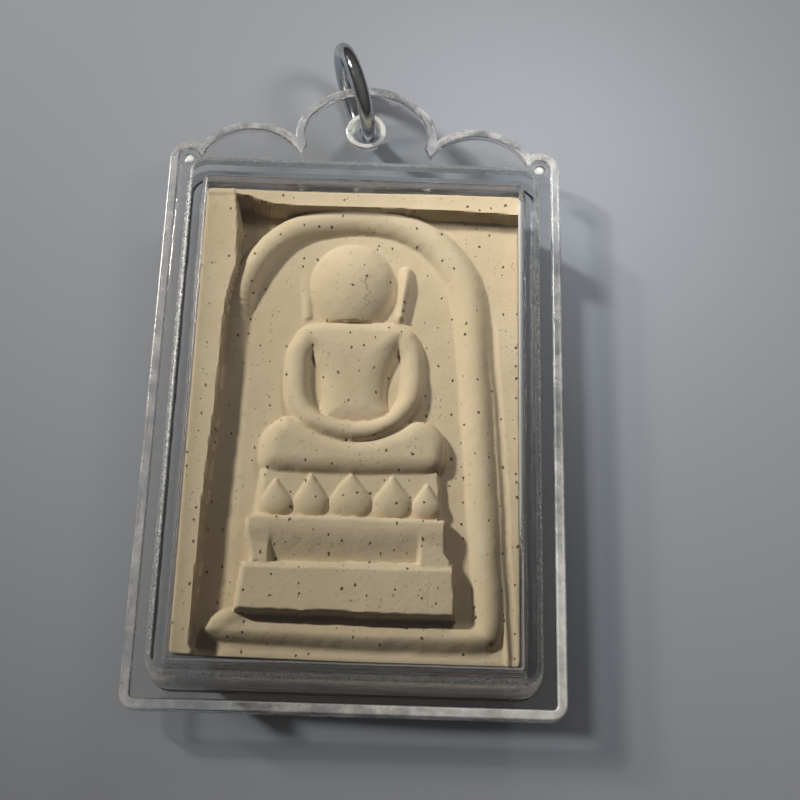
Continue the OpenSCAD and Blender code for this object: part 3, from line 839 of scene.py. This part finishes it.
def finished_shell(name, bm, replaced, finishes):
    """Welds a half of the case, turns its faces outwards and gives it soft, even shading."""
    bmesh.ops.remove_doubles(bm, verts=bm.verts, dist=WELD)
    bmesh.ops.scale(bm, vec=(MM, MM, MM), verts=bm.verts)
    bmesh.ops.recalc_face_normals(bm, faces=bm.faces)
    for face in bm.faces:
        face.smooth = True
    piece = mesh_object(name, bm, [finish(name) for finish in finishes])
    piece.data.set_sharp_from_angle(angle=math.radians(SHARP_SHELL))
    shading = piece.modifiers.new("even_shading", "WEIGHTED_NORMAL")
    shading.keep_sharp = True
    shading.weight = 100
    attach(piece, "case")
    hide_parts(replaced)


def shell_front():
    """The front half: a window box with a thin flange, open below over the tablet."""
    clear, worn, dusty, hazy = range(4)
    bm = bmesh.new()
    slope = DRAFT / (case_h - front_z)
    flange_inset = LIP_W + FIT
    edge = [(flange_inset, front_z)]
    edge += [(flange_inset + inset, z) for inset, z in rounded((0, front_top), 1, 1, FLANGE_BEVEL, 3)]
    edge_low, edge_top = rim_wall(bm, edge)
    at_root = slope * (case_h - front_top)
    root = [(at_root + FINE, front_top), (at_root, front_top + FINE)]
    top_round = BEVEL + slope * BEVEL
    top = [(slope * BEVEL + grow, z) for grow, z in rounded((0, case_h), -1, 1, top_round, 7)]
    box_root, box_rim = box_wall(bm, root + top, (clear, hazy, worn))
    fill(bm, box_rim)
    inner_slope = DRAFT / (window_z - front_z)
    at_window = -WALL + inner_slope * INNER_ROUND
    inner_root, inner_rim = box_wall(bm, [(DRAFT - WALL, front_z)] + [
        (at_window + grow, z) for grow, z in rounded((0, window_z), -1, 1, INNER_ROUND)], (hazy, dusty))
    fill(bm, inner_rim)
    hole_r = PIN_R + FIT
    eye_r = EYE_R + EYE_WALL + FIT
    holes = [tube_wall(bm, (0, eye_y), [(eye_r, front_z), (eye_r, front_top)])]
    for side in (-1, 1):
        holes.append(tube_wall(bm, (side * ear_x, ear_y), [(hole_r, front_z), (hole_r, front_top)]))
    fill(bm, edge_top, box_root, *[hole[1] for hole in holes])
    fill(bm, edge_low, inner_root, *[hole[0] for hole in holes])
    finished_shell("shell_front", bm, "case_front",
                   (clear_acrylic, worn_edge, dusty_edge, hazy_wall))


def shell_back():
    """The back half: a tray with the rim and its lip, the tube of the eye and a pin in each ear."""
    cut, lip = 1, 2
    bm = bmesh.new()
    under = [(inset, 2 * FLANGE_Z - z) for inset, z in reversed(rounded((0, FLANGE_Z), 1, 1, EDGE))]
    lip_out = rounded((0, lip_top), 1, 1, EDGE + FINE)
    lip_in = [(LIP_W - inset, z) for inset, z in reversed(rounded((0, lip_top), 1, 1, EDGE))]
    under_edge, lip_outer = rim_wall(bm, under + lip_out, (lip,))
    lip_inner, seam_edge = rim_wall(bm, lip_in + [(LIP_W, SEAM_Z)], (lip,))
    fill(bm, lip_outer, lip_inner, slot=lip)
    tray_slope = DRAFT / 2 / (FLANGE_Z + 0.1 - BEVEL)
    foot = [(DRAFT / 2 + tray_slope * (FLANGE_Z - BEVEL), FLANGE_Z)]
    foot += [(DRAFT / 2 + grow, -z) for grow, z in rounded((0, 0), -1, 1, BEVEL, 6)]
    tray_root, tray_foot = box_wall(bm, foot)
    fill(bm, tray_foot)
    floor_grow = DRAFT / 2 - WALL
    well = [(DRAFT - WALL, SEAM_Z)]
    well += [(floor_grow + grow, 2 * FLOOR_T - z)
             for grow, z in rounded((0, FLOOR_T), -1, 1, INNER_ROUND)]
    well_edge, well_floor = box_wall(bm, well)
    fill(bm, well_floor)
    out_r = EYE_R + EYE_WALL
    tube_low, tube_top = tube_wall(bm, (0, eye_y), [(out_r, SEAM_Z)] + [
        (out_r - inset, z) for inset, z in rounded((0, lip_top), 1, 1, CUT_ROUND)], (cut,))
    bore = [(EYE_R + inset, z) for inset, z in reversed(rounded((0, lip_top), 1, 1, CUT_ROUND))]
    bore += [(EYE_R, FLANGE_Z + CUT_ROUND), (EYE_R + CUT_ROUND, FLANGE_Z)]
    bore_top, bore_low = tube_wall(bm, (0, eye_y), bore, (cut,))
    fill(bm, tube_top, bore_top, slot=cut)
    roots = [tube_low]
    for side in (-1, 1):
        pin_low, pin_top = tube_wall(bm, (side * ear_x, ear_y), [(PIN_R, SEAM_Z)] + [
            (PIN_R - inset, z) for inset, z in rounded((0, front_top), 1, 1, 1.5 * CUT_ROUND)], (cut,))
        fill(bm, pin_top, slot=cut)
        roots.append(pin_low)
    fill(bm, seam_edge, well_edge, *roots)
    fill(bm, under_edge, tray_root, bore_low)
    finished_shell("shell_back", bm, "case_back",
                   (clear_acrylic, cut_acrylic, lip_wear_and_painted_glow))


# The jump ring

WIRE_D = 1.2
# The ring's turn to the left, in degrees, and its pull towards the box, off the middle of the eye
RING_TURN = 20
RING_PULL = 0.2
RING_SLIT = 0.12
SLIT_AT = 62
WIRE_END_ROUND = 0.06
WIRE_SIDES = 28
RING_STEPS = 112


def ring_wire():
    """The steel jump ring: round wire bent to a circle, with a slit where its ends meet."""
    wire_r = WIRE_D / 2
    ring_r = (ring_high.z - ring_low.z) / 2 - wire_r
    eye_z = (FLANGE_Z + lip_top) / 2
    out = math.sqrt(ring_r ** 2 - (ring_r + wire_r - eye_z) ** 2) - RING_PULL
    slit = RING_SLIT / ring_r
    bm = bmesh.new()
    end = bmesh.ops.create_circle(bm, cap_ends=True, segments=WIRE_SIDES, radius=wire_r)["verts"]
    bmesh.ops.rotate(bm, cent=(0, 0, 0), matrix=Matrix.Rotation(math.pi / 2, 3, "X"), verts=end)
    bmesh.ops.translate(bm, vec=(ring_r, 0, 0), verts=end)
    start = Matrix.Rotation(math.radians(-SLIT_AT) + slit / 2, 3, "Z")
    bmesh.ops.rotate(bm, cent=(0, 0, 0), matrix=start, verts=end)
    bmesh.ops.spin(bm, geom=bm.verts[:] + bm.edges[:] + bm.faces[:], cent=(0, 0, 0), axis=(0, 0, 1),
                   dvec=(0, 0, 0), angle=2 * math.pi - slit, steps=RING_STEPS, use_merge=False,
                   use_duplicate=False)
    bmesh.ops.recalc_face_normals(bm, faces=bm.faces)
    caps = [e for e in bm.edges if any(len(f.verts) > 4 for f in e.link_faces)]
    bmesh.ops.bevel(bm, geom=caps, offset=WIRE_END_ROUND, segments=2, profile=0.5, affect="EDGES",
                    material=-1, offset_type="OFFSET", clamp_overlap=True)
    stand = Matrix.Rotation(math.pi / 2, 4, "X")
    turn = Matrix.Rotation(math.radians(90 + RING_TURN), 4, "Z")
    place = Matrix.Translation((0, eye_y + middle_y, ring_r + wire_r)) @ turn
    place = place @ Matrix.Translation((out, 0, 0)) @ stand
    bmesh.ops.transform(bm, matrix=Matrix.Scale(MM, 4) @ place, verts=bm.verts)
    for face in bm.faces:
        face.smooth = len(face.verts) <= 4
    piece = mesh_object("ring_wire", bm, [steel_material()])
    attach(piece, "ring")
    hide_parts("jump_ring")


# Finishes

PLASTER_TAN = (0.665, 0.545, 0.375, 1)
PLASTER_CREAM = (0.71, 0.59, 0.425, 1)
PLASTER_OCHRE = (0.60, 0.485, 0.30, 1)
PLASTER_CHALK = (0.80, 0.71, 0.56, 1)
FAINT_GRIT = (0.36, 0.28, 0.17, 1)
FINE_GRIT = (0.17, 0.12, 0.075, 1)
DARK_GRIT = (0.06, 0.042, 0.027, 1)
CRACK_BROWN = (0.40, 0.32, 0.22, 1)
# Colour of the painted shade on steep sides that face away from the lamp
STEEP_SHADE_BROWN = (0.22, 0.17, 0.105, 1)
# Colour of the painted shade in the deep upper left corner
CORNER_SHADE_BROWN = (0.19, 0.165, 0.11, 1)
STEEL_DARK = (0.40, 0.44, 0.48, 1)
STEEL_LIGHT = (0.52, 0.56, 0.60, 1)
FLOOR_GREY = (0.29, 0.32, 0.38, 1)
ACRYLIC_IOR = 1.49
# The hair crack's middle, in the tablet's frame, and how far it wavers
CRACK_X = 0.62
CRACK_Y = 9.7
CRACK_WAVER = 2.2


def new_finish(name):
    """A material with its node tree and its shader."""
    material = bpy.data.materials.new(name)
    material.use_nodes = True
    tree = material.node_tree
    return material, tree, tree.nodes["Principled BSDF"]


def millimetres(tree, stretch=(1, 1, 1)):
    """The object's own coordinates in millimetres; a pattern is stretched along each axis as given."""
    place = tree.nodes.new("ShaderNodeTexCoord")
    mapping = tree.nodes.new("ShaderNodeMapping")
    mapping.inputs["Scale"].default_value = [1 / MM / part for part in stretch]
    tree.links.new(place.outputs["Object"], mapping.inputs["Vector"])
    return mapping.outputs["Vector"]


def axes(tree, where):
    """The three parts of a place or a direction."""
    parts = tree.nodes.new("ShaderNodeSeparateXYZ")
    tree.links.new(where, parts.inputs["Vector"])
    return parts.outputs["X"], parts.outputs["Y"], parts.outputs["Z"]


def noise_of(tree, where, scale, detail=3.0, roughness=0.55):
    """Cloudy unevenness between 0 and 1; the scale is in lumps a millimetre."""
    texture = tree.nodes.new("ShaderNodeTexNoise")
    texture.inputs["Scale"].default_value = scale
    texture.inputs["Detail"].default_value = detail
    texture.inputs["Roughness"].default_value = roughness
    tree.links.new(where, texture.inputs["Vector"])
    return texture.outputs["Fac"]


def spread(tree, value, low, high, to_low=0.0, to_high=1.0):
    """Maps a value from low..high to to_low..to_high, and holds it there."""
    node = tree.nodes.new("ShaderNodeMapRange")
    node.interpolation_type = "SMOOTHSTEP"
    for socket, number in (("From Min", low), ("From Max", high), ("To Min", to_low), ("To Max", to_high)):
        node.inputs[socket].default_value = number
    tree.links.new(value, node.inputs["Value"])
    return node.outputs["Result"]


def maths(tree, kind, *values):
    """One step of arithmetic on values, each a socket or a plain number."""
    node = tree.nodes.new("ShaderNodeMath")
    node.operation = kind
    for socket, value in zip(node.inputs, values):
        if isinstance(value, bpy.types.NodeSocket):
            tree.links.new(value, socket)
        else:
            socket.default_value = value
    return node.outputs["Value"]


def product(tree, first, *others):
    """Several values multiplied together."""
    for other in others:
        first = maths(tree, "MULTIPLY", first, other)
    return first


def tinted(tree, share, first, second):
    """The first colour, with a share of the second mixed in."""
    node = tree.nodes.new("ShaderNodeMix")
    node.data_type = "RGBA"
    for name, value in (("Factor_Float", share), ("A_Color", first), ("B_Color", second)):
        socket = next(s for s in node.inputs if s.identifier == name)
        if isinstance(value, bpy.types.NodeSocket):
            tree.links.new(value, socket)
        else:
            socket.default_value = value
    return next(s for s in node.outputs if s.identifier == "Result_Color")


def specks(tree, where, spacing, size, share, seed):
    """Marks of about the size given, in a share of the cells of a loose pattern."""
    bend = tree.nodes.new("ShaderNodeTexNoise")
    bend.inputs["Scale"].default_value = 0.55 / size
    tree.links.new(where, bend.inputs["Vector"])
    shift = tree.nodes.new("ShaderNodeVectorMath")
    shift.operation = "MULTIPLY_ADD"
    shift.inputs[1].default_value = (size * 1.4,) * 3
    tree.links.new(bend.outputs["Color"], shift.inputs[0])
    tree.links.new(where, shift.inputs[2])
    move = tree.nodes.new("ShaderNodeVectorMath")
    move.operation = "ADD"
    move.inputs[1].default_value = (seed, seed * 0.7, 0)
    tree.links.new(shift.outputs["Vector"], move.inputs[0])
    cells = tree.nodes.new("ShaderNodeTexVoronoi")
    cells.voronoi_dimensions = "2D"
    cells.inputs["Scale"].default_value = 1 / spacing
    tree.links.new(move.outputs["Vector"], cells.inputs["Vector"])
    parts = tree.nodes.new("ShaderNodeSeparateColor")
    tree.links.new(cells.outputs["Color"], parts.inputs["Color"])
    radius = spread(tree, parts.outputs["Red"], 1 - share, 1.0, 0.0, size / spacing / 2)
    inside = maths(tree, "SUBTRACT", radius, cells.outputs["Distance"])
    return spread(tree, inside, 0.0, size / spacing * 0.16)


def bumped(tree, heights, shader):
    """Adds up heights, each with its own depth in millimetres, into one bump."""
    total = None
    for value, depth in heights:
        part = maths(tree, "MULTIPLY", value, depth)
        total = part if total is None else maths(tree, "ADD", total, part)
    bump = tree.nodes.new("ShaderNodeBump")
    bump.inputs["Strength"].default_value = 1.0
    bump.inputs["Distance"].default_value = MM
    tree.links.new(total, bump.inputs["Height"])
    tree.links.new(bump.outputs["Normal"], shader.inputs["Normal"])


def floor_material():
    """The matt floor."""
    material, _, shader = new_finish("pale_floor")
    shader.inputs["Base Color"].default_value = FLOOR_GREY
    shader.inputs["Roughness"].default_value = 0.75
    return material


def hair_crack(tree, where):
    """A hairline crack down the ball of the head: a thin wavering line."""
    x, y, _ = axes(tree, where)
    waver = noise_of(tree, millimetres(tree, (1e6, 1, 1e6)), 1.1, 4.0, 0.7)
    off = maths(tree, "MULTIPLY_ADD", waver, -CRACK_WAVER, CRACK_WAVER / 2 - CRACK_X)
    away = maths(tree, "ABSOLUTE", maths(tree, "ADD", x, off))
    along = maths(tree, "ABSOLUTE", maths(tree, "SUBTRACT", y, CRACK_Y + middle_y))
    return product(tree, spread(tree, away, 0.02, 0.07, 1.0, 0.0),
                   spread(tree, along, 1.0, 1.4, 1.0, 0.0))


def painted_steep_shade(tree):
    """Painted shade on the steep sides of the relief that face the lower right, away from the lamp, and
    none where it is level.
    """
    facing = tree.nodes.new("ShaderNodeNewGeometry")
    x, y, z = axes(tree, facing.outputs["Normal"])
    away = maths(tree, "SUBTRACT", x, y)
    return product(tree, spread(tree, z, 0.1, 0.65, 0.62, 0.0),
                   spread(tree, away, 0.0, 0.4))


def painted_corner_shade(tree, where):
    """Painted shade in the deep upper left corner of the pressing, where the borders' shadow falls, and
    none on its sides.
    """
    x, y, z = axes(tree, where)
    return product(tree, spread(tree, z, 3.5, 4.15, 0.55, 0.0),
                   spread(tree, x, -11.6, -11.2), spread(tree, x, -3.0, -1.5, 1.0, 0.0),
                   spread(tree, y, 3.0, 5.0), spread(tree, y, 12.2, 12.5, 1.0, 0.0))


def plaster_material():
    """Matt cream plaster, mottled, with dark grit, fine pores and a hair crack, and painted shade on its
    steep sides and in its deep upper left corner.
    """
    material, tree, shader = new_finish("pressed_plaster")
    where = millimetres(tree)
    along = millimetres(tree, (1.0, 1.35, 1.0))
    cloud = noise_of(tree, where, 0.16)
    blotch = noise_of(tree, where, 0.9, 3.0, 0.6)
    grain = noise_of(tree, where, 5.5, 4.0, 0.6)
    crowd = noise_of(tree, where, 0.28, 2.0, 0.6)
    grit = specks(tree, along, 0.95, 0.20, 0.72, 3.1)
    fine = specks(tree, along, 0.44, 0.11, 0.62, 7.7)
    fine = product(tree, fine, spread(tree, crowd, 0.42, 0.58, 0.25, 1.0))
    faint = specks(tree, where, 1.5, 0.34, 0.5, 12.3)
    crack = hair_crack(tree, where)
    colour = PLASTER_TAN
    for share, tint in (
            (spread(tree, cloud, 0.35, 0.65), PLASTER_CREAM),
            (spread(tree, blotch, 0.45, 0.75, 0.0, 0.35), PLASTER_OCHRE),
            (spread(tree, grain, 0.3, 0.75, 0.0, 0.12), PLASTER_CHALK),
            (product(tree, faint, 0.25), FAINT_GRIT),
            (product(tree, fine, 0.6), FINE_GRIT),
            (product(tree, grit, 0.9), DARK_GRIT),
            (product(tree, crack, 0.4), CRACK_BROWN),
            # Painted shade on the steep sides that face away from the lamp
            (painted_steep_shade(tree), STEEP_SHADE_BROWN),
            # Painted shade in the deep upper left corner, where the borders' shadow falls
            (painted_corner_shade(tree, where), CORNER_SHADE_BROWN)):
        colour = tinted(tree, share, colour, tint)
    tree.links.new(colour, shader.inputs["Base Color"])
    shader.inputs["Roughness"].default_value = 0.88
    shader.inputs["Specular IOR Level"].default_value = 0.25
    bumped(tree, [(grain, 0.024), (blotch, 0.02), (grit, -0.05), (fine, -0.03), (crack, -0.05)],
           shader)
    return material


def let_lamps_through(tree, shader, colour):
    """Lets the lamps shine through clear acrylic, as they do in life, instead of a black shadow."""
    output = tree.nodes["Material Output"]
    path = tree.nodes.new("ShaderNodeLightPath")
    clear = tree.nodes.new("ShaderNodeBsdfTransparent")
    clear.inputs["Color"].default_value = colour
    mix = tree.nodes.new("ShaderNodeMixShader")
    tree.links.new(path.outputs["Is Shadow Ray"], mix.inputs["Fac"])
    tree.links.new(shader.outputs["BSDF"], mix.inputs[1])
    tree.links.new(clear.outputs["BSDF"], mix.inputs[2])
    tree.links.new(mix.outputs["Shader"], output.inputs["Surface"])


def acrylic(name, colour, clear):
    """A start for every finish of the acrylic: its shader and its coordinates."""
    material, tree, shader = new_finish(name)
    shader.inputs["Base Color"].default_value = colour
    shader.inputs["IOR"].default_value = ACRYLIC_IOR
    shader.inputs["Transmission Weight"].default_value = clear
    return material, tree, shader, millimetres(tree)


def clear_acrylic(piece):
    """Clear moulded acrylic: slight waves from the mould and a dulled polish."""
    material, tree, shader, where = acrylic("acrylic_of_" + piece, (0.985, 0.98, 0.975, 1), 1.0)
    dull = noise_of(tree, where, 0.9, 4.0, 0.6)
    tree.links.new(spread(tree, dull, 0.35, 0.75, 0.015, 0.06), shader.inputs["Roughness"])
    waves = noise_of(tree, where, 0.35, 2.0)
    bumped(tree, [(waves, 0.035)], shader)
    let_lamps_through(tree, shader, (0.93, 0.945, 0.95, 1))
    return material


def hazy_wall(piece):
    """The upright walls: drawn streaks from the mould, and a thin milky haze between them."""
    material, tree, shader, where = acrylic("hazy_wall_of_" + piece, (0.95, 0.91, 0.90, 1), 0.88)
    drawn = noise_of(tree, millimetres(tree, (9, 9, 0.22)), 1.0, 3.0, 0.6)
    rub = noise_of(tree, where, 1.6, 4.0, 0.65)
    haze = product(tree, spread(tree, drawn, 0.45, 0.7),
                   spread(tree, rub, 0.3, 0.7, 0.4, 1.0))
    tree.links.new(spread(tree, haze, 0.0, 1.0, 0.93, 0.45), shader.inputs["Transmission Weight"])
    tree.links.new(spread(tree, rub, 0.3, 0.75, 0.03, 0.16), shader.inputs["Roughness"])
    bumped(tree, [(drawn, 0.11), (rub, 0.02)], shader)
    let_lamps_through(tree, shader, (0.88, 0.89, 0.9, 1))
    return material


def worn_edge(piece):
    """The rounded edges of the window: dulled by handling, so that a lamp glows on them."""
    material, tree, shader, where = acrylic("worn_edge_of_" + piece, (0.95, 0.955, 0.96, 1), 0.93)
    rub = noise_of(tree, where, 3.4, 4.0, 0.7)
    tree.links.new(spread(tree, rub, 0.3, 0.7, 0.10, 0.36), shader.inputs["Roughness"])
    bumped(tree, [(rub, 0.045)], shader)
    let_lamps_through(tree, shader, (0.88, 0.9, 0.9, 1))
    return material


def lip_wear_and_painted_glow(piece):
    """The rim and its lip: milky where they rub on clothes, and milkier towards the lower right corner, a
    painted glow that stands in for the light coming through the rim there.
    """
    material, tree, shader, where = acrylic("lip_wear_and_painted_glow_of_" + piece, (0.93, 0.925, 0.94, 1), 0.6)
    x, y, _ = axes(tree, where)
    # The milkiness that grows towards the lower right corner is a painted glow, not wear
    corner = maths(tree, "SUBTRACT", x, y)
    rub = noise_of(tree, where, 0.55, 4.0, 0.65)
    milky = maths(tree, "ADD", spread(tree, rub, 0.3, 0.7, 0.0, 0.30),
                  spread(tree, corner, 14.0, 38.0, 0.12, 0.55))
    tree.links.new(spread(tree, milky, 0.0, 1.0, 1.0, 0.0), shader.inputs["Transmission Weight"])
    tree.links.new(spread(tree, rub, 0.3, 0.7, 0.12, 0.32), shader.inputs["Roughness"])
    drawn = noise_of(tree, millimetres(tree, (6, 6, 0.3)), 1.0, 3.0, 0.6)
    bumped(tree, [(rub, 0.05), (drawn, 0.03)], shader)
    let_lamps_through(tree, shader, (0.8, 0.82, 0.83, 1))
    return material


def dusty_edge(piece):
    """The inner edge of the window, where plaster dust has caught, most along the right side."""
    material, tree, shader, where = acrylic("dusty_edge_of_" + piece, (0.78, 0.79, 0.82, 1), 0.9)
    x, y, _ = axes(tree, where)
    grains = noise_of(tree, where, 7.0, 2.0, 0.7)
    caught = product(tree, spread(tree, x, -10.0, 11.5, 0.10, 0.62),
                     spread(tree, y, -19.0, -10.0), spread(tree, y, 11.5, 13.2, 1.0, 0.0))
    dust = spread(tree, maths(tree, "ADD", grains, caught), 0.72, 0.95)
    tree.links.new(spread(tree, dust, 0.0, 1.0, 1.0, 0.05), shader.inputs["Transmission Weight"])
    tree.links.new(spread(tree, dust, 0.0, 1.0, 0.04, 0.35), shader.inputs["Roughness"])
    bumped(tree, [(dust, 0.04)], shader)
    let_lamps_through(tree, shader, (0.9, 0.9, 0.9, 1))
    return material


def cut_acrylic(piece):
    """Cut acrylic inside the eye and on the pins: white and rough where the drill passed."""
    material, tree, shader, where = acrylic("cut_acrylic_of_" + piece, (0.93, 0.94, 0.94, 1), 0.58)
    rubbed = noise_of(tree, where, 3.0, 4.0)
    tree.links.new(spread(tree, rubbed, 0.3, 0.7, 0.25, 0.55), shader.inputs["Roughness"])
    bumped(tree, [(rubbed, 0.04)], shader)
    let_lamps_through(tree, shader, (0.8, 0.82, 0.83, 1))
    return material


def steel_material():
    """Polished steel wire with fine rubbing marks."""
    material, tree, shader = new_finish("polished_steel")
    where = millimetres(tree)
    rubbed = noise_of(tree, where, 1.8, 5.0, 0.65)
    colour = tinted(tree, spread(tree, rubbed, 0.35, 0.7), STEEL_DARK, STEEL_LIGHT)
    tree.links.new(colour, shader.inputs["Base Color"])
    shader.inputs["Metallic"].default_value = 1.0
    tree.links.new(spread(tree, rubbed, 0.3, 0.75, 0.08, 0.20), shader.inputs["Roughness"])
    bumped(tree, [(rubbed, 0.006)], shader)
    return material


add_camera()
tablet_cast()
shell_back()
shell_front()
ring_wire()
add_studio()
